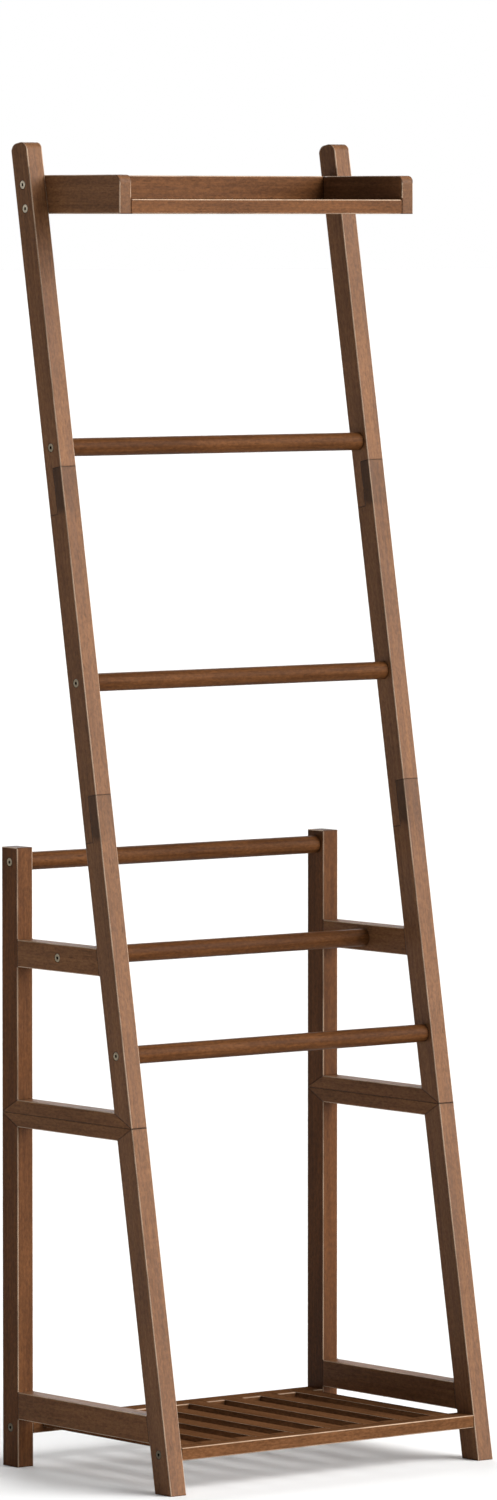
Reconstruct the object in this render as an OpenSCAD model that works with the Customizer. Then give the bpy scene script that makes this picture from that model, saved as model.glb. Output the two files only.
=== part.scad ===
// Free-standing ladder towel rack in stained solid wood.
// Two A-shaped side frames carry five round bars, a slatted shelf near the floor and a tray near the top.
// X runs across the rack, Y from front to back, Z up. The origin is on the floor, below the middle.

/* [Overall] */
// Height from the floor to the top of the stiles
rack_h = 1650; // [1375:1:1980]
// Width over the outer faces of the two side frames
rack_w = 512; // [420:1:700]
// Depth at the floor, from the front of the stiles to the back of the rear posts
rack_d = 344; // [286:1:420]
// Lean of the stiles away from the vertical, in degrees
lean = 10; // [8:0.5:12]

/* [Stiles and posts] */
// Width of a stile or post, across the rack
post_w = 24; // [20:0.5:30]
// Depth of a stile or post, square to its length
post_d = 32.5; // [27:0.5:40]
// Radius of the rounded long edges
edge_r = 1.5; // [0.5:0.1:3]
// Radius of the two rounded corners at the top of a stile
stile_top_r = 12; // [4:0.5:13]
// Height of the level joint between the lower and the upper frame
seam_h = 444; // [370:1:500]
// Height of the lower lap joint's upper end, at the front face
lower_lap_h = 850; // [820:1:900]
// Drop from the axis of the top bar to the upper lap joint's upper end, at the front face
upper_lap_drop = 22.5; // [18:0.5:60]
// Length of a lap joint along the stile
lap_len = 57; // [45:1:70]
// Spacing of the two bolts in a lap joint
lap_bolt_gap = 28.5; // [24:0.5:36]
// Height of the rear posts
rear_post_h = 775.5; // [720:0.5:930]

/* [Side rails] */
// Height of the bottom rail and of the upper rail
side_rail_h = 34; // [28:0.5:41]
// Height of each of the two rails that meet at the level joint
seam_rail_h = 17; // [16:0.1:21]
// Spacing of the two bolts up through each level joint
seam_bolt_gap = 115; // [80:1:140]
// Underside of the bottom rail above the floor
bottom_rail_z = 60.5; // [58:0.5:90]
// Underside of the upper rail above the floor
upper_rail_z = 627; // [520:1:650]

/* [Towel bars] */
// Diameter of the round bars
bar_d = 22.5; // [18:0.5:27]
// Drop from the tray's underside to the axis of the top bar
top_bar_drop = 287.5; // [230:0.5:345]
// Spacing of the top and middle bars
middle_bar_drop = 288.5; // [240:0.5:346]
// Rise from the level joint to the axis of the lower bar
lower_bar_rise = 87; // [40:0.5:140]
// Drop from the top of the rear posts to the axis of the rear bar
rear_bar_drop = 18.5; // [16:0.5:60]

/* [Shelf] */
// Top of the shelf above the floor
shelf_top_z = 57; // [48:0.5:58]
// Depth of the shelf's two rails
shelf_rail_d = 32; // [28:0.5:38]
// Thickness of the shelf's two rails
shelf_rail_t = 16; // [14:0.5:19]
// Number of slats
slat_count = 8; // [8:1:8]
// Width of a slat
slat_w = 28; // [23:0.5:33]
// Thickness of a slat
slat_t = 9; // [7:0.5:11]
// Gap between a side frame and the nearest slat
slat_side_gap = 16; // [6:0.5:20]
// How far a slat reaches into the housing in each rail
housing_len = 14; // [10:0.5:18]

/* [Tray] */
// Drop from the top of the stiles to the tray's underside
tray_drop = 88.5; // [70:0.5:130]
// Depth of the tray from front to back
tray_d = 175; // [140:1:220]
// Height of the tray's sides
tray_h = 48; // [40:1:60]
// Thickness of the tray's boards
board_t = 18; // [15:0.5:22]
// Radius of the top front corner of each tray side
tray_corner_r = 10; // [4:0.5:16]
// Lower tray bolt above the tray's underside
tray_bolt_low = 6.5; // [6:0.5:8]
// First dowel in each tray side, behind the tray's front
tray_dowel_setback = 35; // [20:1:60]
// Spacing of the two dowels in each tray side
tray_dowel_gap = 52.5; // [30:0.5:65]
// Spacing of the three dowels between the tray's bottom and back boards
back_dowel_gap = 128; // [60:1:154]
// Upper tray bolt below the top of the tray's sides
tray_bolt_drop = 12; // [8:0.5:16]

/* [Fasteners] */
// Diameter of a bolt's shank
bolt_d = 6; // [5:0.5:7]
// Diameter of a bolt's head
bolt_head_d = 10; // [9:0.5:12]
// Height of a bolt's head, sunk flush
bolt_head_h = 3; // [2.5:0.5:4]
// Width across the corners of the hexagon socket
socket_d = 4.6; // [3.5:0.1:5.5]
// Depth of the hexagon socket
socket_depth = 2; // [1:0.5:2]
// How far a bolt reaches into its threaded insert
bolt_grip = 11; // [8:0.5:12]
// Outer diameter of a threaded insert
insert_d = 9; // [8.5:0.5:10]
// Length of a threaded insert in a bar, a rail end or a board end
insert_len = 13; // [12.5:0.5:15]
// Length of the shorter insert in a lap or at the level joint
short_insert_len = 10; // [9.5:0.5:12]
// Diameter of a wooden dowel
dowel_d = 8; // [6:0.5:10]
// Length of the dowels in the side frames' rails
rail_dowel_len = 30; // [24:1:36]
// Spacing of the two dowels in one end of a side rail
rail_dowel_gap = 16; // [12:0.5:18]
// Length of the dowels across the level joint
seam_dowel_len = 60; // [50:1:80]
// Length of the dowels in the tray
tray_dowel_len = 26; // [22:1:30]
// Shank diameter of a slat screw
screw_d = 3.5; // [3:0.5:4]
// Head diameter of a slat screw
screw_head_d = 7; // [6:0.5:8]
// Length of a slat screw
screw_len = 13; // [11:0.5:14]

/* [Clearances] */
// Gap all round a bolt in a plain hole
bolt_clear = 0.3; // [0.1:0.1:0.5]
// Gap all round a slat's end in its housing
housing_clear = 0.2; // [0.1:0.1:0.5]
// Free depth at the end of a blind hole
blind_clear = 1; // [0.5:0.5:2]

/* [Hidden] */

$fn = 48;
// Overlap that carries a cut clear of a surface
cut = 1;
// Reach of a cutting block past the wood it trims
reach = 200;

// The left frame is drawn, and the right one is its mirror image.
outer_x = -rack_w / 2;
inner_x = outer_x + post_w;
mid_x = outer_x + post_w / 2;
rear_y = rack_d / 2;
post_front_y = rear_y - post_d;
post_mid_y = rear_y - post_d / 2;

function stile_front_y(z) = -rack_d / 2 + z * tan(lean);
function stile_rear_y(z) = stile_front_y(z) + post_d / cos(lean);
function stile_mid_y(z) = stile_front_y(z) + post_d / cos(lean) / 2;

// Heights that follow from the driving sizes
tray_z = rack_h - tray_drop;
top_bar_z = tray_z - top_bar_drop;
middle_bar_z = top_bar_z - middle_bar_drop;
lower_bar_z = seam_h + lower_bar_rise;
rear_bar_z = rear_post_h - rear_bar_drop;
inner_bar_z = upper_rail_z + side_rail_h / 2;
inner_bar_y = (stile_rear_y(inner_bar_z) + post_front_y) / 2;
shelf_rail_z = shelf_top_z - shelf_rail_t;
shelf_mid_z = shelf_top_z - shelf_rail_t / 2;
slat_z = shelf_top_z - slat_t;

// Distances along the stile, from the floor point of its front face
seam_s = seam_h / cos(lean);
lower_lap_s = lower_lap_h / cos(lean);
upper_lap_s = (top_bar_z - upper_lap_drop) / cos(lean);
stile_top_s = (rack_h - stile_top_r * (1 - sin(lean))) / cos(lean) + stile_top_r;

// Plan positions of the shelf
front_rail_y = stile_mid_y(shelf_mid_z);
front_housing_y = front_rail_y + shelf_rail_d / 2 - housing_len;
rear_housing_y = post_mid_y - shelf_rail_d / 2 + housing_len;
slat_span = rack_w - 2 * (post_w + slat_side_gap) - slat_w;
slat_pitch = slat_span / (slat_count - 1);
function slat_x(i) = -slat_span / 2 + i * slat_pitch;

// Side view positions of the tray
tray_bolt_z = [tray_z + tray_bolt_low, tray_z + tray_h - tray_bolt_drop];
tray_rear_y = stile_mid_y(tray_bolt_z[1]) + board_t / 2;
tray_front_y = tray_rear_y - tray_d;
tray_inner_x = inner_x + board_t;
tray_dowel_y = [for (i = [0, 1]) tray_front_y + tray_dowel_setback + i * tray_dowel_gap];
back_board_z = tray_z + board_t;

// Bolts that enter from the outer faces, as [y, z] in the side view
bar_points = [
    [stile_mid_y(top_bar_z), top_bar_z],
    [stile_mid_y(middle_bar_z), middle_bar_z],
    [stile_mid_y(lower_bar_z), lower_bar_z],
    [post_mid_y, rear_bar_z],
    [inner_bar_y, inner_bar_z]
];
shelf_points = [[front_rail_y, shelf_mid_z], [post_mid_y, shelf_mid_z]];
tray_points = [for (z = tray_bolt_z) [stile_mid_y(z), z]];

// Dowels between the side rails and their posts, as [y, z] of each dowel's middle
rail_dowel_z = [for (z = [bottom_rail_z, upper_rail_z], side = [-1, 1])
    z + side_rail_h / 2 + side * rail_dowel_gap / 2];
rail_dowel_points = [for (z = rail_dowel_z, y = [stile_rear_y(z), post_front_y]) [y, z]];

// Bolts up through the level joint, as distances along Y
seam_mid_y = (stile_rear_y(seam_h) + post_front_y) / 2;
seam_bolt_y = [for (side = [-1, 1]) seam_mid_y + side * seam_bolt_gap / 2];

wood_side = [0.34, 0.22, 0.16];
wood_front = [0.55, 0.38, 0.28];
wood_bar = [0.47, 0.30, 0.20];
metal = [0.78, 0.74, 0.66];
brass = [0.80, 0.65, 0.35];
dowel_wood = [0.80, 0.66, 0.48];

// ---------- Shapes used by several parts ----------

// Rectangle with rounded corners, centred
module rounded_rect(w, d, r) {
    square([w - 2 * r, d], center = true);
    square([w, d - 2 * r], center = true);
    for (x = [-1, 1], y = [-1, 1]) translate([x * (w / 2 - r), y * (d / 2 - r)]) circle(r);
}

// Squared timber with rounded long edges, standing on z = 0
module timber(w, d, len) {
    linear_extrude(len) rounded_rect(w, d, edge_r);
}

// Extrudes a side view, drawn as [y, z], across X
module across(x0, x1) {
    translate([x0, 0, 0]) rotate([90, 0, 90]) linear_extrude(x1 - x0) children();
}

// Board with rounded long edges from x0 to x1, its lower front edge at [y, z]
module board_x(x0, x1, y, z, d, h) {
    translate([x0, y + d / 2, z + h / 2]) rotate([90, 0, 90]) timber(d, h, x1 - x0);
}

// A round rod from x0 to x1 at [y, z]
module rod_x(x0, x1, d, point) {
    translate([x0, point[0], point[1]]) rotate([0, 90, 0]) cylinder(d = d, h = x1 - x0);
}

// Draws its children on the named side
module on_side(side) {
    mirror([side == "right" ? 1 : 0, 0, 0]) children();
}

// Draws its children on both sides
module on_both_sides() {
    children();
    mirror([1, 0, 0]) children();
}

// Puts z along the left stile and y square to its front face
module stile_frame() {
    translate([0, -rack_d / 2, 0]) rotate([-lean, 0, 0]) children();
}

// Socket head bolt with its head at z = 0 and its tip at z = len
module bolt(len) {
    difference() {
        union() {
            cylinder(d = bolt_head_d, h = bolt_head_h);
            cylinder(d = bolt_d, h = len);
        }
        translate([0, 0, -cut]) cylinder(d = socket_d, h = socket_depth + cut, $fn = 6);
    }
}

// Clearance hole for a bolt, with a flush seat for its head
module bolt_hole(len) {
    translate([0, 0, -cut]) cylinder(d = bolt_head_d + 2 * bolt_clear, h = bolt_head_h + cut);
    cylinder(d = bolt_d + 2 * bolt_clear, h = len);
}

// Threaded insert from z = 0 to z = len
module insert(len) {
    difference() {
        cylinder(d = insert_d, h = len);
        translate([0, 0, -cut]) cylinder(d = bolt_d, h = len + 2 * cut);
    }
}

// Blind hole for an insert
module insert_hole(len) {
    translate([0, 0, -cut]) cylinder(d = insert_d, h = len + blind_clear + cut);
}

// Places its children at [y, z] on the plane x, pointing inwards
module inwards(x, point) {
    translate([x, point[0], point[1]]) rotate([0, 90, 0]) children();
}

// Dowel centred on the origin, along Z
module dowel(len) {
    cylinder(d = dowel_d, h = len, center = true);
}

// ---------- Cuts shared by the side frames ----------

// Every bolt hole that runs in from the left outer face
module side_bolt_holes() {
    for (p = concat(bar_points, shelf_points, tray_points)) inwards(outer_x, p) bolt_hole(post_w + cut);
}

// Dowel holes at the ends of the side rails
module rail_dowel_holes() {
    for (p = rail_dowel_points)
        translate([mid_x, p[0], p[1]]) rotate([90, 0, 0]) dowel(rail_dowel_len + 2 * blind_clear);
}

// Places its children at each dowel across the level joint
module at_seam_dowels() {
    translate([mid_x, post_mid_y, seam_h]) children();
    translate([mid_x, stile_mid_y(seam_h), seam_h]) rotate([-lean, 0, 0]) children();
}

module seam_dowel_holes() {
    at_seam_dowels() dowel(seam_dowel_len + 2 * blind_clear);
}

// Places its children at each bolt of the two lap joints, pointing from the rear face to the front
module at_lap_bolts() {
    for (s = [lower_lap_s, upper_lap_s], side = [-1, 1])
        stile_frame() translate([mid_x, post_d, s - lap_len / 2 + side * lap_bolt_gap / 2])
            rotate([90, 0, 0]) children();
}

module lap_bolt_holes() {
    at_lap_bolts() {
        bolt_hole(post_d / 2 + cut);
        translate([0, 0, post_d / 2]) insert_hole(short_insert_len);
    }
}

// Side view of a rail at the level joint, mitred from the inner to the outer corners
module seam_rail_profile(dir) {
    z = seam_h + dir * seam_rail_h;
    polygon([
        [rear_y, seam_h],
        [post_front_y, z],
        [stile_rear_y(z), z],
        [stile_front_y(seam_h), seam_h]
    ]);
}

// ---------- Side frame parts ----------

// A length of the left stile, lapped at its lower and upper ends where asked
module stile_length(s_low, s_high, lap_low, lap_high) {
    stile_frame() difference() {
        translate([mid_x, post_d / 2, s_low]) timber(post_w, post_d, s_high - s_low);
        if (lap_low)
            translate([outer_x - cut, -cut, s_low - cut])
                cube([post_w + 2 * cut, post_d / 2 + cut, lap_len + cut]);
        if (lap_high)
            translate([outer_x - cut, post_d / 2, s_high - lap_len])
                cube([post_w + 2 * cut, post_d / 2 + cut, lap_len + cut]);
    }
}

// Squares the stile's inner edges where a side rail butts against it
module stile_joint_block(rail_z) {
    stile_frame()
        translate([outer_x, post_d / 2, (rail_z + post_d * sin(lean)) / cos(lean)])
            cube([post_w, post_d / 2, side_rail_h / cos(lean)]);
}

// Squares the rear post's inner edges where a side rail butts against it
module post_joint_block(rail_z) {
    translate([outer_x, post_front_y, rail_z]) cube([post_w, post_d / 2, side_rail_h]);
}

module level_slab(z0, z1) {
    translate([outer_x - cut, -rack_d, z0]) cube([post_w + 2 * cut, 2 * rack_d, z1 - z0]);
}

module stile_lower() {
    difference() {
        intersection() {
            union() {
                stile_length(-post_d, seam_s + post_d, false, false);
                stile_joint_block(bottom_rail_z);
            }
            level_slab(0, seam_h);
        }
        across(outer_x - cut, inner_x + cut) seam_rail_profile(-1);
        side_bolt_holes();
        rail_dowel_holes();
        seam_dowel_holes();
    }
}

module stile_middle() {
    difference() {
        intersection() {
            union() {
                stile_length(seam_s - post_d, lower_lap_s, false, true);
                stile_joint_block(upper_rail_z);
            }
            level_slab(seam_h, rack_h);
        }
        across(outer_x - cut, inner_x + cut) seam_rail_profile(1);
        side_bolt_holes();
        rail_dowel_holes();
        seam_dowel_holes();
        lap_bolt_holes();
    }
}

module stile_upper() {
    difference() {
        stile_length(lower_lap_s - lap_len, upper_lap_s, true, true);
        side_bolt_holes();
        lap_bolt_holes();
    }
}

// Side view of the stile's rounded top, as [depth, distance along the stile]
module stile_top_profile() {
    square([post_d, stile_top_s - stile_top_r]);
    translate([stile_top_r, 0]) square([post_d - 2 * stile_top_r, stile_top_s]);
    for (d = [stile_top_r, post_d - stile_top_r])
        translate([d, stile_top_s - stile_top_r]) circle(stile_top_r);
}

module stile_top() {
    difference() {
        intersection() {
            stile_length(upper_lap_s - lap_len, stile_top_s, true, false);
            stile_frame() across(outer_x - cut, inner_x + cut) stile_top_profile();
        }
        side_bolt_holes();
        lap_bolt_holes();
    }
}

module rear_post_lower() {
    difference() {
        union() {
            translate([mid_x, post_mid_y, 0]) timber(post_w, post_d, seam_h);
            post_joint_block(bottom_rail_z);
        }
        across(outer_x - cut, inner_x + cut) seam_rail_profile(-1);
        side_bolt_holes();
        rail_dowel_holes();
        seam_dowel_holes();
    }
}

module rear_post_upper() {
    difference() {
        intersection() {
            union() {
                translate([mid_x, post_mid_y, seam_h]) timber(post_w, post_d, rear_post_h - seam_h);
                post_joint_block(upper_rail_z);
            }
            board_x(outer_x, inner_x, post_front_y, 0, post_d, rear_post_h);
            timber_y(post_front_y, rear_y, rear_post_h, rear_post_h / 2);
        }
        across(outer_x - cut, inner_x + cut) seam_rail_profile(1);
        side_bolt_holes();
        rail_dowel_holes();
        seam_dowel_holes();
    }
}

// Timber along Y, centred on mid_x and z
module timber_y(y0, y1, h, z) {
    translate([mid_x, y0, z]) rotate([-90, 0, 0]) timber(post_w, h, y1 - y0);
}

// Rail that butts against the stile's rear face and the post's front face
module side_rail(rail_z) {
    difference() {
        timber_y(stile_front_y(rail_z), post_front_y, side_rail_h, rail_z + side_rail_h / 2);
        stile_frame() translate([outer_x - cut, post_d - reach, 0])
            cube([post_w + 2 * cut, reach, rack_h]);
        rail_dowel_holes();
        side_bolt_holes();
    }
}

// Mitred rail below (-1) or above (1) the level joint
module seam_rail(dir) {
    difference() {
        intersection() {
            across(outer_x, inner_x) seam_rail_profile(dir);
            timber_y(-rack_d, rack_d, 2 * seam_rail_h, seam_h);
            translate([mid_x, rear_y - rack_d / 2, 0]) timber(post_w, rack_d, rack_h);
            stile_frame() translate([mid_x, rack_d / 2, 0]) timber(post_w, rack_d, rack_h);
        }
        seam_dowel_holes();
        for (y = seam_bolt_y) translate([mid_x, y, seam_h - seam_rail_h]) {
            bolt_hole(seam_rail_h + cut);
            translate([0, 0, seam_rail_h]) insert_hole(short_insert_len);
        }
    }
}

// ---------- Bars ----------

// Round bar with a threaded insert's hole in each end
module towel_bar(point, x) {
    difference() {
        rod_x(-x, x, bar_d, point);
        on_both_sides() inwards(-x, point) insert_hole(insert_len);
    }
}

// ---------- Shelf ----------

// Rail of the shelf along X, its housings open towards the other rail
module shelf_rail(y, housing_y0, housing_y1) {
    difference() {
        translate([inner_x, y, shelf_mid_z]) rotate([90, 0, 90])
            timber(shelf_rail_d, shelf_rail_t, -2 * inner_x);
        for (i = [0 : slat_count - 1])
            translate([slat_x(i) - slat_w / 2 - housing_clear, housing_y0, slat_z])
                cube([slat_w + 2 * housing_clear, housing_y1 - housing_y0, slat_t + cut]);
        on_both_sides() inwards(inner_x, [y, shelf_mid_z]) insert_hole(insert_len);
        at_slat_screws() screw_hole();
    }
}

module slat(i) {
    y0 = front_housing_y + housing_clear;
    y1 = rear_housing_y - housing_clear;
    difference() {
        translate([slat_x(i), y0, slat_z + slat_t / 2]) rotate([-90, 0, 0])
            linear_extrude(y1 - y0) rounded_rect(slat_w, slat_t, edge_r / 2);
        at_slat_screws() screw_hole();
    }
}

// Places its children below each end of each slat, pointing up
module at_slat_screws() {
    for (i = [0 : slat_count - 1], y = [front_housing_y + housing_len / 2, rear_housing_y - housing_len / 2])
        translate([slat_x(i), y, shelf_rail_z]) children();
}

// Countersunk screw pointing up, its head flush at z = 0
module screw() {
    cylinder(d1 = screw_head_d, d2 = screw_d, h = (screw_head_d - screw_d) / 2);
    cylinder(d = screw_d, h = screw_len);
}

// Hole that the screw fills, with the same taper
module screw_hole() {
    translate([0, 0, -cut]) cylinder(d = screw_head_d, h = cut);
    screw();
}

// ---------- Tray ----------

module tray_side_profile() {
    difference() {
        translate([tray_front_y, tray_z]) square([tray_d, tray_h]);
        translate([tray_front_y - cut, tray_z + tray_h - tray_corner_r])
            square([tray_corner_r + cut, tray_corner_r + cut]);
    }
    translate([tray_front_y + tray_corner_r, tray_z + tray_h - tray_corner_r]) circle(tray_corner_r);
}

module tray_side() {
    difference() {
        intersection() {
            across(inner_x, tray_inner_x) tray_side_profile();
            translate([inner_x + board_t / 2, tray_front_y + tray_d / 2, tray_z])
                timber(board_t, tray_d, tray_h);
            translate([inner_x + board_t / 2, tray_front_y, tray_z + tray_h / 2]) rotate([-90, 0, 0])
                timber(board_t, tray_h, tray_d);
        }
        for (p = tray_points) rod_x(inner_x - cut, tray_inner_x + cut, bolt_d + 2 * bolt_clear, p);
        tray_side_dowels(blind_clear);
    }
}

// Dowels between the left tray side and the bottom board, longer by extra at each end
module tray_side_dowels(extra) {
    for (y = tray_dowel_y) translate([tray_inner_x, y, tray_z + board_t / 2]) rotate([0, 90, 0])
        dowel(tray_dowel_len + 2 * extra);
}

// Dowels between the bottom board and the back board, longer by extra at each end
module tray_back_dowels(extra) {
    for (x = [-1, 0, 1]) translate([x * back_dowel_gap, tray_rear_y - board_t / 2, back_board_z])
        dowel(tray_dowel_len + 2 * extra);
}

module tray_board_cuts() {
    on_both_sides() {
        tray_side_dowels(blind_clear);
        for (p = tray_points) inwards(tray_inner_x, p) insert_hole(insert_len);
    }
    tray_back_dowels(blind_clear);
}

module tray_bottom() {
    difference() {
        board_x(tray_inner_x, -tray_inner_x, tray_front_y, tray_z, tray_d, board_t);
        tray_board_cuts();
    }
}

module tray_back() {
    difference() {
        board_x(tray_inner_x, -tray_inner_x, tray_rear_y - board_t, back_board_z, board_t, tray_h - board_t);
        tray_board_cuts();
    }
}

// ---------- Fasteners ----------

module side_bolts(points, len) {
    on_both_sides() for (p = points) inwards(outer_x, p) bolt(len);
}

module side_inserts(points, x) {
    on_both_sides() for (p = points) inwards(x, p) insert(insert_len);
}

module lap_bolt_set() {
    on_both_sides() at_lap_bolts() bolt(post_d / 2 + short_insert_len - blind_clear);
}

module lap_insert_set() {
    on_both_sides() at_lap_bolts() translate([0, 0, post_d / 2]) insert(short_insert_len);
}

module seam_bolt_set() {
    on_both_sides() for (y = seam_bolt_y) translate([mid_x, y, seam_h - seam_rail_h])
        bolt(seam_rail_h + short_insert_len - blind_clear);
}

module seam_insert_set() {
    on_both_sides() for (y = seam_bolt_y) translate([mid_x, y, seam_h]) insert(short_insert_len);
}

module rail_dowel_set() {
    on_both_sides() for (p = rail_dowel_points)
        translate([mid_x, p[0], p[1]]) rotate([90, 0, 0]) dowel(rail_dowel_len);
}

module tray_dowel_set() {
    on_both_sides() tray_side_dowels(0);
    tray_back_dowels(0);
}

// ---------- Named parts ----------

module left_stile_lower() { color(wood_side) on_side("left") stile_lower(); }
module left_stile_middle() { color(wood_side) on_side("left") stile_middle(); }
module left_stile_upper() { color(wood_side) on_side("left") stile_upper(); }
module left_stile_top() { color(wood_side) on_side("left") stile_top(); }
module left_rear_post_lower() { color(wood_side) on_side("left") rear_post_lower(); }
module left_rear_post_upper() { color(wood_side) on_side("left") rear_post_upper(); }
module left_bottom_side_rail() { color(wood_side) on_side("left") side_rail(bottom_rail_z); }
module left_lower_frame_top_rail() { color(wood_side) on_side("left") seam_rail(-1); }
module left_upper_frame_bottom_rail() { color(wood_side) on_side("left") seam_rail(1); }
module left_upper_side_rail() { color(wood_side) on_side("left") side_rail(upper_rail_z); }

module right_stile_lower() { color(wood_side) on_side("right") stile_lower(); }
module right_stile_middle() { color(wood_side) on_side("right") stile_middle(); }
module right_stile_upper() { color(wood_side) on_side("right") stile_upper(); }
module right_stile_top() { color(wood_side) on_side("right") stile_top(); }
module right_rear_post_lower() { color(wood_side) on_side("right") rear_post_lower(); }
module right_rear_post_upper() { color(wood_side) on_side("right") rear_post_upper(); }
module right_bottom_side_rail() { color(wood_side) on_side("right") side_rail(bottom_rail_z); }
module right_lower_frame_top_rail() { color(wood_side) on_side("right") seam_rail(-1); }
module right_upper_frame_bottom_rail() { color(wood_side) on_side("right") seam_rail(1); }
module right_upper_side_rail() { color(wood_side) on_side("right") side_rail(upper_rail_z); }

module top_towel_bar() { color(wood_bar) towel_bar(bar_points[0], -inner_x); }
module middle_towel_bar() { color(wood_bar) towel_bar(bar_points[1], -inner_x); }
module lower_towel_bar() { color(wood_bar) towel_bar(bar_points[2], -inner_x); }
module rear_towel_bar() { color(wood_bar) towel_bar(bar_points[3], -inner_x); }
module inner_towel_bar() { color(wood_bar) towel_bar(bar_points[4], -inner_x); }

module shelf_front_rail() {
    color(wood_front) shelf_rail(front_rail_y, front_housing_y, front_rail_y + shelf_rail_d);
}
module shelf_rear_rail() {
    color(wood_front) shelf_rail(post_mid_y, post_mid_y - shelf_rail_d, rear_housing_y);
}
module shelf_slat(i) { color(wood_front) slat(i - 1); }

module tray_left_side() { color(wood_front) on_side("left") tray_side(); }
module tray_right_side() { color(wood_front) on_side("right") tray_side(); }
module tray_back_board() { color(wood_front) tray_back(); }
module tray_bottom_board() { color(wood_front) tray_bottom(); }

module bar_bolts() { color(metal) side_bolts(bar_points, post_w + bolt_grip); }
module shelf_bolts() { color(metal) side_bolts(shelf_points, post_w + bolt_grip); }
module tray_bolts() { color(metal) side_bolts(tray_points, post_w + board_t + bolt_grip); }
module lap_bolts() { color(metal) lap_bolt_set(); }
module seam_bolts() { color(metal) seam_bolt_set(); }

module bar_inserts() { color(brass) side_inserts(bar_points, inner_x); }
module shelf_inserts() { color(brass) side_inserts(shelf_points, inner_x); }
module tray_inserts() { color(brass) side_inserts(tray_points, tray_inner_x); }
module lap_inserts() { color(brass) lap_insert_set(); }
module seam_inserts() { color(brass) seam_insert_set(); }

module rail_dowels() { color(dowel_wood) rail_dowel_set(); }
module seam_dowels() { color(dowel_wood) on_both_sides() at_seam_dowels() dowel(seam_dowel_len); }
module tray_dowels() { color(dowel_wood) tray_dowel_set(); }
module slat_screws() { color(metal) at_slat_screws() screw(); }

left_stile_lower();
left_stile_middle();
left_stile_upper();
left_stile_top();
left_rear_post_lower();
left_rear_post_upper();
left_bottom_side_rail();
left_lower_frame_top_rail();
left_upper_frame_bottom_rail();
left_upper_side_rail();
right_stile_lower();
right_stile_middle();
right_stile_upper();
right_stile_top();
right_rear_post_lower();
right_rear_post_upper();
right_bottom_side_rail();
right_lower_frame_top_rail();
right_upper_frame_bottom_rail();
right_upper_side_rail();
top_towel_bar();
middle_towel_bar();
lower_towel_bar();
rear_towel_bar();
inner_towel_bar();
shelf_front_rail();
shelf_rear_rail();
shelf_slat(1);  // shelf_slat_1
shelf_slat(2);  // shelf_slat_2
shelf_slat(3);  // shelf_slat_3
shelf_slat(4);  // shelf_slat_4
shelf_slat(5);  // shelf_slat_5
shelf_slat(6);  // shelf_slat_6
shelf_slat(7);  // shelf_slat_7
shelf_slat(8);  // shelf_slat_8
tray_left_side();
tray_right_side();
tray_back_board();
tray_bottom_board();
bar_bolts();
shelf_bolts();
tray_bolts();
lap_bolts();
seam_bolts();
bar_inserts();
shelf_inserts();
tray_inserts();
lap_inserts();
seam_inserts();
rail_dowels();
seam_dowels();
tray_dowels();
slat_screws();
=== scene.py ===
"""Looks for the ladder towel rack: walnut-stained wood, plated bolts, a plain studio."""
import math
import random

import bpy
from mathutils import Euler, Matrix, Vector


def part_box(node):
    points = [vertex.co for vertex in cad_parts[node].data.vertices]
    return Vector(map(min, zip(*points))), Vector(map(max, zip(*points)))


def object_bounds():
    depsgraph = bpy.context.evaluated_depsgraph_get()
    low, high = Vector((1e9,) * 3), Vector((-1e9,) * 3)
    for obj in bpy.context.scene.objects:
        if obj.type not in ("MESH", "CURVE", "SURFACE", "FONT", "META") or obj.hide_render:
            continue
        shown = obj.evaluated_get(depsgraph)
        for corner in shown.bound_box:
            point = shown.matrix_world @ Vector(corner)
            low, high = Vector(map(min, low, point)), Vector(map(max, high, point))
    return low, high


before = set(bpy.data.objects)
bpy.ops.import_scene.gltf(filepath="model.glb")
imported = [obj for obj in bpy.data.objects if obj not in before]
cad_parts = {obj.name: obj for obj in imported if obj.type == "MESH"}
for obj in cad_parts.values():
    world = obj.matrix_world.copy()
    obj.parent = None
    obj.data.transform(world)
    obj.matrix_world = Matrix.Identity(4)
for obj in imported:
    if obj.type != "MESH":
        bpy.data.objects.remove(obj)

# Camera: its angle round the object and above the horizon, then metres and millimetres
AZIMUTH = -38.306
ELEVATION = 3.566
DISTANCE = 10.59
AIM_RISE = 0.0693    # how far above the middle of the rack the camera aims
LENS = 203.8
SENSOR = 36.0
FAR = 400.0          # how far the camera sees, and the floor's side

# Studio light: suns as (azimuth, elevation, strength, apparent size in degrees)
KEY = (36.0, 20.0, 7.3, 58.0)
FILL = (-62.0, 12.0, 0.12, 50.0)
BACK = (158.0, 28.0, 1.6, 40.0)
TOP_STRENGTH = 0.65
TOP_ANGLE = 120.0
SKY_LIGHT = 0.16
WHITE = (1.0, 1.0, 1.0, 1.0)
FLOOR_COLOUR = (0.80, 0.80, 0.797)
FLOOR_CLOUD = 0.995  # its slightly darker clouds
FLOOR_CLOUDS = (1.5, 3.0, 0.55)   # noise as (scale, detail, roughness)
FLOOR_ROUGH = 0.9
FLOOR_GLOSS = 0.1

# Wood tones as (dark streak, light streak), linear
FRAME_TONE = ((0.101, 0.0430, 0.0175), (0.154, 0.0700, 0.0300))
# the rear posts' tone is darker and more orange than FRAME_TONE: painted shade
SHADED_POST_TONE = ((0.062, 0.0225, 0.0072), (0.096, 0.0370, 0.0125))
# the bars' tone is their own darker, more orange wood, made darker still as painted shade
BAR_TONE_AND_SHADE = ((0.050, 0.0180, 0.0055), (0.094, 0.0365, 0.0120))
TRAY_TONE = ((0.080, 0.0305, 0.0104), (0.124, 0.0500, 0.0178))
SLAT_TONE = ((0.077, 0.0325, 0.0135), (0.120, 0.0530, 0.0225))
DOWEL_TONE = ((0.36, 0.23, 0.12), (0.56, 0.40, 0.24))
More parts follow.
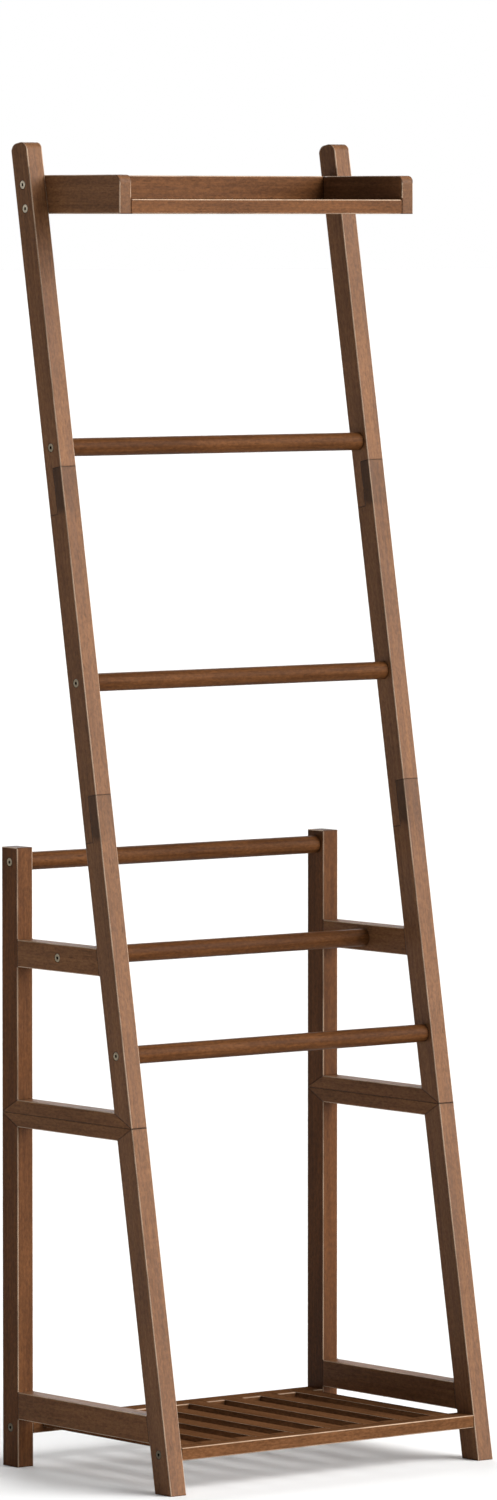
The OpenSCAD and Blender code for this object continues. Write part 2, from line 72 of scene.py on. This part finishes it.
# Painted highlight colour for the rounded arrises and the stile tops' sharp edges, linear
ARRIS_HIGHLIGHT = (0.50, 0.350, 0.242)

# Gloss of the finish
FRAME_GLOSS = 0.095
PART_GLOSS = 0.05
BAR_GLOSS = 0.03
SHELF_GLOSS = 0.0

# Where each piece is cut from the wood, and how much deeper or paler its stain can be
SHIFT = 3.0
STAIN_DEPTH = 0.35
DEPTH_SHOWN = 0.10

# Grain layers as (stretch along the wood, scale, detail, roughness, distortion)
BANDS = (0.10, 38.0, 3.0, 0.5, 0.6)
STREAKS = (0.035, 210.0, 5.0, 0.62, 0.25)
FIBRES = (0.03, 900.0, 4.0, 0.6, 0.0)
PORES = (0.10, 620.0, 2.0, 0.5, 0.0)
CLOUDS = (0.45, 14.0, 2.0, 0.5, 0.0)
MOTTLE = (0.45, 380.0, 5.0, 0.70, 0.0)
# patches along the painted arris highlight
HIGHLIGHT_PATCHES = (0.3, 60.0, 4.0, 0.55, 0.0)
BAND_SHARE = 0.35
STREAK_SHARE = 0.65

# What part of a noise's spread is used
GRAIN_SPREAD = (0.32, 0.68)
NOISE_SPREAD = (0.30, 0.70)
MOTTLE_SPREAD = (0.36, 0.66)
PORE_SPREAD = (0.62, 0.74)
# for the painted arris highlight's patches
HIGHLIGHT_PATCH_SPREAD = (0.32, 0.62)
FILM_SPREAD = (0.35, 0.65)
ROUGH_SPREAD = (0.45, 1.05)

# How the layers shade, roughen and raise the wood
CLOUD_SHADE = (0.91, 1.08)
FLECK_SHADE = (0.80, 1.20)
FIBRE_SHADE = (0.94, 1.05)
PORE_SHADE = (1.0, 0.66)
WOOD_ROUGH = (0.36, 0.54)
PORE_ROUGH = 0.5
FIBRE_RELIEF = 0.6
STREAK_RELIEF = 0.8
PORE_RELIEF = 0.8
WOOD_BUMP = (0.35, 0.0002)   # strength and distance

# Edges, joints and cut ends of the wood
EDGE_BEND = (0.997, 0.92)    # how well the eased normal agrees beside an edge line and in it
# Painted shade along sharp edges and the lines where pieces meet
SEAM_RADIUS = 0.0019
SEAM_DEPTH = 0.95
SEAM_SHADE = 0.12
JOINT_REACH = 0.002
ARRIS = (0.08, 0.38)         # how far a normal leans where the painted highlight starts and is full
# how strong the painted arris highlight is, from its faintest patch to its fullest
HIGHLIGHT_RANGE = (0.50, 1.0)
END_FACING = (0.75, 0.95)    # how far a normal leans along the grain where an end begins
DARK_ENDS = 0.55             # how far a cut end goes towards its darker tone
TRAY_ENDS = 0.28
END_DARK = 0.45
TONGUE_FADE = 0.012
TONGUE_FRONT = 0.20
TONGUE_SIDE = 0.58
TONGUE_FACING = (0.2, 0.8)   # how far a normal leans sideways from front to side
TONGUE_DARK = 0.1
HIGHLIGHT_TOP_HEIGHT = 0.03              # how much of a stile's top has a painted highlight on its sharp edges instead of painted seam shade
HIGHLIGHT_TOP_FADE = 0.001

# Metals, linear, as (colour, roughness)
BRIGHT_STEEL = ((0.62, 0.54, 0.41), 0.32)
DULL_STEEL = ((0.29, 0.240, 0.165), 0.38)
DARK_STEEL = ((0.115, 0.094, 0.064), 0.40)
BRASS = ((0.62, 0.42, 0.17), 0.30)
TURNING_MARKS = (700.0, 3.0, 0.6)   # noise as (scale, detail, roughness)
FILM = (120.0, 3.0, 0.5)
# painted shade in the recesses, such as the hex sockets, found with an ambient occlusion node
RECESS_REACH = 0.004
RECESS_EDGES = (0.60, 0.95)
RECESS_SHADE = 0.03
FILM_DARK = 0.82
# painted highlight along the metal's sharp edges
METAL_EDGE = 0.0004
METAL_EDGE_SHARE = 0.4
METAL_EDGE_LIGHT = 1.35
METAL_ROUGH = (-0.06, 0.10)  # around the metal's own roughness
METAL_BUMP = (0.2, 0.0001)

SIDES = ("left", "right")
LEANING = ("stile_lower", "stile_middle", "stile_upper", "stile_top")
LAPS = (("stile_middle", "stile_upper"), ("stile_upper", "stile_top"))
UPRIGHT = ("rear_post_lower", "rear_post_upper")
LEVEL = ("bottom_side_rail", "lower_frame_top_rail", "upper_frame_bottom_rail", "upper_side_rail")
BARS = ("top_towel_bar", "middle_towel_bar", "lower_towel_bar", "rear_towel_bar", "inner_towel_bar")
SHELF_RAILS = ("shelf_front_rail", "shelf_rear_rail")
SLATS = tuple("shelf_slat_%d" % (i + 1) for i in range(8))
TRAY_SIDES = ("tray_left_side", "tray_right_side")
TRAY_BOARDS = ("tray_back_board", "tray_bottom_board")
TRAY = TRAY_SIDES + TRAY_BOARDS
BOLTS = ("bar_bolts", "shelf_bolts", "tray_bolts", "lap_bolts", "seam_bolts", "slat_screws")
BRIGHT_BOLTS = ("tray_bolts", "slat_screws")
DARK_BOLTS = ("shelf_bolts",)
INSERTS = ("bar_inserts", "shelf_inserts", "tray_inserts", "lap_inserts", "seam_inserts")
DOWELS = ("rail_dowels", "seam_dowels", "tray_dowels")

QUARTER = math.pi / 2
ALONG_X = Euler((0, -QUARTER, 0))
ALONG_Y = Euler((QUARTER, 0, 0))
ALONG_Z = Euler((0, 0, 0))


class Tree:
    """Builds one material's nodes."""

    def __init__(self, name):
        self.material = bpy.data.materials.new(name)
        self.material.use_nodes = True
        self.nodes = self.material.node_tree.nodes
        self.links = self.material.node_tree.links
        self.nodes.clear()
        self.shader = self.add("ShaderNodeBsdfPrincipled")
        out = self.add("ShaderNodeOutputMaterial")
        self.links.new(self.shader.outputs[0], out.inputs["Surface"])

    def add(self, kind, **settings):
        node = self.nodes.new(kind)
        for key, value in settings.items():
            setattr(node, key, value)
        return node

    def put(self, socket, value):
        """Links an output to a socket, or sets the socket's own value."""
        if isinstance(value, bpy.types.NodeSocket):
            self.links.new(value, socket)
        else:
            socket.default_value = value

    def math(self, operation, a, b=0.0):
        node = self.add("ShaderNodeMath", operation=operation)
        self.put(node.inputs[0], a)
        self.put(node.inputs[1], b)
        return node.outputs[0]

    def vector(self, operation, a, b=(0.0, 0.0, 0.0)):
        node = self.add("ShaderNodeVectorMath", operation=operation)
        self.put(node.inputs[0], a)
        self.put(node.inputs[1], b)
        return node.outputs["Value" if operation == "DOT_PRODUCT" else "Vector"]

    def parts(self, vector):
        """The three parts of a vector."""
        node = self.add("ShaderNodeSeparateXYZ")
        self.put(node.inputs[0], vector)
        return node.outputs

    def product(self, first, *others):
        """All the values multiplied together."""
        for other in others:
            first = self.math("MULTIPLY", first, other)
        return first

    def layer(self, along, kind):
        """Noise drawn out along z."""
        stretch, *settings = kind
        return self.noise(self.vector("MULTIPLY", along, (1.0, 1.0, stretch)), *settings)

    def noise(self, where, scale, detail, rough, distort=0.0):
        node = self.add("ShaderNodeTexNoise")
        self.put(node.inputs["Vector"], where)
        node.inputs["Scale"].default_value = scale
        node.inputs["Detail"].default_value = detail
        node.inputs["Roughness"].default_value = rough
        node.inputs["Distortion"].default_value = distort
        return node.outputs["Fac"]

    def remap(self, value, low, high, to_low=0.0, to_high=1.0):
        node = self.add("ShaderNodeMapRange", interpolation_type="SMOOTHSTEP")
        for socket, v in zip(node.inputs, (value, low, high, to_low, to_high)):
            self.put(socket, v)
        return node.outputs[0]

    def mix(self, factor, a, b, blend="MIX"):
        node = self.add("ShaderNodeMix", data_type="RGBA", blend_type=blend)
        self.put(node.inputs["Factor"], factor)
        for socket, v in zip((node.inputs[6], node.inputs[7]), (a, b)):
            self.put(socket, (*v, 1.0) if isinstance(v, tuple) else v)
        return node.outputs[2]

    def darkened(self, factor, colour, tone, share):
        """The colour taken towards a darker version of a tone."""
        return self.mix(factor, colour, tuple(share * c for c in tone))

    def finish(self, colour, rough, height, bump, eased):
        """Puts colour, roughness and a fine bump on the shader."""
        node = self.add("ShaderNodeBump")
        node.inputs["Strength"].default_value, node.inputs["Distance"].default_value = bump
        self.put(node.inputs["Height"], height)
        self.put(node.inputs["Normal"], eased)
        self.put(self.shader.inputs["Base Color"], colour)
        self.put(self.shader.inputs["Roughness"], rough)
        self.put(self.shader.inputs["Normal"], node.outputs[0])

    def turned(self, vector, turn):
        """The vector turned so that the wood's length runs along z."""
        node = self.add("ShaderNodeVectorRotate", rotation_type="EULER_XYZ", invert=True)
        self.put(node.inputs["Vector"], vector)
        node.inputs["Rotation"].default_value = turn
        return node.outputs[0]


def edge_line(tree, radius):
    """1 along a sharp edge and 0 away from it, with the eased normal."""
    bevel = tree.add("ShaderNodeBevel", samples=4)
    bevel.inputs["Radius"].default_value = radius
    true = tree.add("ShaderNodeNewGeometry").outputs["Normal"]
    same = tree.vector("DOT_PRODUCT", bevel.outputs[0], true)
    return tree.remap(same, *EDGE_BEND), bevel.outputs[0]


def outside_box(tree, place, box):
    """1 away from a box and 0 in it or within reach of it."""
    low, high = box
    away = tree.vector("ABSOLUTE", tree.vector("SUBTRACT", place, tuple((low + high) / 2)))
    x, y, z = tree.parts(tree.vector("SUBTRACT", away, tuple((high - low) / 2)))
    return tree.math("GREATER_THAN", tree.math("MAXIMUM", tree.math("MAXIMUM", x, y), z), JOINT_REACH)


def stain(tree, layers, tone, depth):
    """The flat faces' colour: streaks between the two tones, with clouds, flecks, pores and fibres."""
    bands, streaks, fibres, pores, clouds, mottle = layers
    grain = tree.math("ADD", tree.product(bands, BAND_SHARE), tree.product(streaks, STREAK_SHARE))
    colour = tree.mix(tree.remap(grain, *GRAIN_SPREAD), *tone)
    cloud = tree.remap(clouds, *NOISE_SPREAD, *(c + DEPTH_SHOWN * depth for c in CLOUD_SHADE))
    fleck = tree.remap(mottle, *MOTTLE_SPREAD, *FLECK_SHADE)
    pore = tree.remap(pores, *PORE_SPREAD, *PORE_SHADE)
    fibre = tree.remap(fibres, *NOISE_SPREAD, *FIBRE_SHADE)
    shade = tree.math("MULTIPLY", tree.product(cloud, fleck), tree.product(pore, fibre))
    tint = tree.add("ShaderNodeCombineXYZ")
    for socket in tint.inputs:
        tree.put(socket, shade)
    return tree.mix(1.0, colour, tint.outputs[0], "MULTIPLY")


def wood(name, tone, turn, seed, square=True, bare_from=None, tongue_from=None, joints=(),
         gloss=PART_GLOSS, ends=DARK_ENDS):
    """Stained wood with its grain along z after the turn. Square timber gets a painted highlight on
    its rounded arrises.
    Sharp edges get painted shade as dark seam lines, up to a height given as an argument, and a
    painted highlight above it.
    Above tongue_from the piece is a lap joint's tongue, which is darker, more on its side faces than
    on its front.
    Joints are the boxes of pieces that it meets: the arrises along them get no painted highlight."""
    tree = Tree(name)
    chance = random.Random(seed)
    shift = tuple(chance.uniform(-SHIFT, SHIFT) for _ in range(3))
    depth = chance.uniform(-STAIN_DEPTH, STAIN_DEPTH)

    place = tree.add("ShaderNodeTexCoord").outputs["Object"]
    along = tree.vector("ADD", tree.turned(place, turn), shift)
    normal = tree.turned(tree.add("ShaderNodeNewGeometry").outputs["Normal"], turn)
    x, y, z = (tree.math("ABSOLUTE", part) for part in tree.parts(normal))

    layers = [tree.layer(along, kind) for kind in (BANDS, STREAKS, FIBRES, PORES, CLOUDS, MOTTLE)]
    _, streaks, fibres, pores, _, _ = layers
    colour = stain(tree, layers, tone, depth)

    # The lap's tongue is darker, more on its side faces than on its front
    if tongue_from is not None:
        tongue = tree.remap(tree.parts(place)[2], tongue_from, tongue_from + TONGUE_FADE)
        darkness = tree.remap(x, *TONGUE_FACING, TONGUE_FRONT, TONGUE_SIDE)
        colour = tree.darkened(tree.product(tongue, darkness), colour, tone[0], TONGUE_DARK)

    # Cut ends drink more stain
    end = tree.remap(z, *END_FACING)
    colour = tree.darkened(tree.product(end, ends), colour, tone[0], END_DARK)

    # Painted highlight: rounded arrises are painted lighter, in patches along their length
    if square:
        across = y if turn == ALONG_X else tree.math("MAXIMUM", y, z)
        painted_highlight = tree.remap(tree.math("MINIMUM", x, across), *ARRIS)
        highlight_patch = tree.remap(tree.layer(along, HIGHLIGHT_PATCHES), *HIGHLIGHT_PATCH_SPREAD, *HIGHLIGHT_RANGE)
        painted_highlight = tree.product(painted_highlight, highlight_patch, *(outside_box(tree, place, box) for box in joints))
        colour = tree.mix(painted_highlight, colour, ARRIS_HIGHLIGHT)

    # Painted shade: sharp edges and joint lines are painted dark
    line, eased = edge_line(tree, SEAM_RADIUS)
    seam = tuple(SEAM_SHADE * c for c in tone[0])
    # Painted highlight: near a stile's top the sharp edges are painted light instead
    if bare_from is not None:
        bare = tree.remap(tree.parts(place)[2], bare_from - HIGHLIGHT_TOP_FADE, bare_from + HIGHLIGHT_TOP_FADE)
        seam = tree.mix(bare, seam, ARRIS_HIGHLIGHT)
    colour = tree.mix(tree.product(line, SEAM_DEPTH), colour, seam)

    open_grain = tree.math("ADD", streaks, tree.product(pores, PORE_ROUGH))
    rough = tree.remap(open_grain, *ROUGH_SPREAD, *WOOD_ROUGH)
    relief = tree.math("ADD", tree.product(fibres, FIBRE_RELIEF), tree.product(streaks, STREAK_RELIEF))
    relief = tree.math("SUBTRACT", relief, tree.remap(pores, *PORE_SPREAD, 0.0, PORE_RELIEF))
    tree.finish(colour, rough, relief, WOOD_BUMP, eased)
    tree.shader.inputs["Specular IOR Level"].default_value = gloss
    return tree.material


def metal(name, colour, roughness):
    """Plated metal with fine turning marks, handling marks, painted shade in its recesses and a
    painted highlight along its sharp edges.
    """
    tree = Tree(name)
    place = tree.add("ShaderNodeTexCoord").outputs["Object"]
    marks = tree.noise(place, *TURNING_MARKS)
    film = tree.noise(place, *FILM)
    # Painted shade: recesses are painted darker
    hollow = tree.add("ShaderNodeAmbientOcclusion", samples=6)
    hollow.inputs["Distance"].default_value = RECESS_REACH
    unshaded = tree.remap(hollow.outputs["AO"], *RECESS_EDGES)
    base = tree.mix(tree.remap(film, *FILM_SPREAD), tuple(FILM_DARK * c for c in colour), colour)
    base = tree.mix(unshaded, tuple(RECESS_SHADE * c for c in colour), base)
    # Painted highlight: sharp edges are painted lighter
    line, eased = edge_line(tree, METAL_EDGE)
    shine = tuple(min(1.0, METAL_EDGE_LIGHT * c) for c in colour)
    base = tree.mix(tree.product(line, METAL_EDGE_SHARE), base, shine)
    rough = tree.remap(marks, *NOISE_SPREAD, *(roughness + r for r in METAL_ROUGH))
    tree.finish(base, rough, marks, METAL_BUMP, eased)
    tree.shader.inputs["Metallic"].default_value = 1.0
    return tree.material


def coat(node, material):
    """Gives a CAD node its material."""
    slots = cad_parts[node].material_slots
    if not len(slots):
        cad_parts[node].data.materials.append(material)
    for slot in slots:
        slot.material = material


def lean_turn():
    """The stiles' lean, from the size of the lowest one's box and the timber's own depth."""
    _, run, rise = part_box("left_stile_lower")[1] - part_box("left_stile_lower")[0]
    thick = (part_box("left_rear_post_lower")[1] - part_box("left_rear_post_lower")[0]).y
    lean = math.acos(thick / math.hypot(run, rise)) - math.atan2(rise, run)
    return Euler((-lean, 0, 0))


def dress_wood():
    """Materials for every wooden node, each piece cut from its own wood."""
    lean = lean_turn()
    jobs = []
    for side in SIDES:
        jobs += [("%s_%s" % (side, n), FRAME_TONE, lean, {"gloss": FRAME_GLOSS}) for n in LEANING]
        jobs += [("%s_%s" % (side, n), SHADED_POST_TONE, ALONG_Z, {}) for n in UPRIGHT]
        jobs += [("%s_%s" % (side, n), FRAME_TONE, ALONG_Y, {}) for n in LEVEL]
    jobs += [(n, BAR_TONE_AND_SHADE, ALONG_X, {"square": False, "gloss": BAR_GLOSS}) for n in BARS]
    jobs += [(n, SLAT_TONE, ALONG_X, {"gloss": SHELF_GLOSS}) for n in SHELF_RAILS]
    jobs += [(n, SLAT_TONE, ALONG_Y, {"gloss": SHELF_GLOSS}) for n in SLATS]
    jobs += [(n, FRAME_TONE, ALONG_Y, {"gloss": FRAME_GLOSS, "ends": TRAY_ENDS})
             for n in TRAY_SIDES]
    jobs += [(n, TRAY_TONE, ALONG_X, {}) for n in TRAY_BOARDS]
    jobs += [(n, DOWEL_TONE, ALONG_Y, {"square": False}) for n in DOWELS]
    for seed, (node, tone, turn, options) in enumerate(jobs):
        if node.endswith("stile_top"):
            options["bare_from"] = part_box(node)[1].z - HIGHLIGHT_TOP_HEIGHT
        for lower, upper in LAPS:
            if node.endswith(lower):
                options["tongue_from"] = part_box(node.replace(lower, upper))[0].z
        if node in TRAY:
            options["joints"] = [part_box(other) for other in TRAY if other != node]
        coat(node, wood("wood_" + node, tone, turn, seed, **options))


def dress_metal():
    """Materials for the bolts, screws and inserts."""
    bright = metal("plated_steel", *BRIGHT_STEEL)
    dull = metal("aged_steel", *DULL_STEEL)
    dark = metal("dark_steel", *DARK_STEEL)
    brass = metal("brass", *BRASS)
    for node in BOLTS:
        coat(node, bright if node in BRIGHT_BOLTS else dark if node in DARK_BOLTS else dull)
    for node in INSERTS:
        coat(node, brass)


def facing(azimuth, elevation):
    """Unit vector from the object towards that angle, counted as the camera's is."""
    a, e = math.radians(azimuth), math.radians(elevation)
    return Vector((math.sin(a) * math.cos(e), -math.cos(a) * math.cos(e), math.sin(e)))


def sun(name, direction, strength, angle):
    """A sun whose angle is its apparent size."""
    light = bpy.data.lights.new(name, "SUN")
    light.energy = strength
    light.angle = math.radians(angle)
    lamp = bpy.data.objects.new(name, light)
    lamp.rotation_euler = direction.to_track_quat("Z", "Y").to_euler()
    bpy.context.scene.collection.objects.link(lamp)


def studio_floor():
    """A plain pale floor at the object's feet."""
    mesh = bpy.data.meshes.new("studio_floor")
    half = FAR / 2
    corners = [(-half, -half, 0), (half, -half, 0), (half, half, 0), (-half, half, 0)]
    mesh.from_pydata(corners, [], [(0, 1, 2, 3)])
    floor = bpy.data.objects.new("studio_floor", mesh)
    bpy.context.scene.collection.objects.link(floor)
    tree = Tree("studio_floor")
    place = tree.add("ShaderNodeTexCoord").outputs["Object"]
    clouds = tree.remap(tree.noise(place, *FLOOR_CLOUDS), *NOISE_SPREAD)
    cloud = tuple(FLOOR_CLOUD * c for c in FLOOR_COLOUR)
    tree.put(tree.shader.inputs["Base Color"], tree.mix(clouds, cloud, FLOOR_COLOUR))
    tree.shader.inputs["Roughness"].default_value = FLOOR_ROUGH
    tree.shader.inputs["Specular IOR Level"].default_value = FLOOR_GLOSS
    mesh.materials.append(tree.material)


def studio_sky():
    """A white backdrop that gives less light than it shows."""
    world = bpy.data.worlds.new("studio")
    world.use_nodes = True
    nodes, links = world.node_tree.nodes, world.node_tree.links
    nodes.clear()
    seen = nodes.new("ShaderNodeBackground")
    seen.inputs["Color"].default_value = WHITE
    lit = nodes.new("ShaderNodeBackground")
    lit.inputs["Color"].default_value = WHITE
    lit.inputs["Strength"].default_value = SKY_LIGHT
    path = nodes.new("ShaderNodeLightPath")
    mixer = nodes.new("ShaderNodeMixShader")
    out = nodes.new("ShaderNodeOutputWorld")
    links.new(path.outputs["Is Camera Ray"], mixer.inputs[0])
    links.new(lit.outputs[0], mixer.inputs[1])
    links.new(seen.outputs[0], mixer.inputs[2])
    links.new(mixer.outputs[0], out.inputs["Surface"])
    bpy.context.scene.world = world


def camera(box):
    """The scene's camera, aimed a little above the middle of the box."""
    low, high = box
    aim = (low + high) / 2
    aim.z += AIM_RISE
    data = bpy.data.cameras.new("camera")
    data.lens = LENS
    data.sensor_width = SENSOR
    data.clip_end = FAR
    rig = bpy.data.objects.new("camera", data)
    back = facing(AZIMUTH, ELEVATION)
    rig.location = aim + back * DISTANCE
    rig.rotation_mode = "QUATERNION"
    rig.rotation_quaternion = (-back).to_track_quat("-Z", "Y")
    bpy.context.scene.collection.objects.link(rig)
    bpy.context.scene.camera = rig


cad_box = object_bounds()
camera(cad_box)
bpy.context.scene.view_settings.view_transform = "Standard"
studio_sky()
studio_floor()
for name, (azimuth, elevation, strength, angle) in (("key", KEY), ("fill", FILL), ("back", BACK)):
    sun(name, facing(azimuth, elevation), strength, angle)
sun("top", Vector((0, 0, 1)), TOP_STRENGTH, TOP_ANGLE)
dress_wood()
dress_metal()
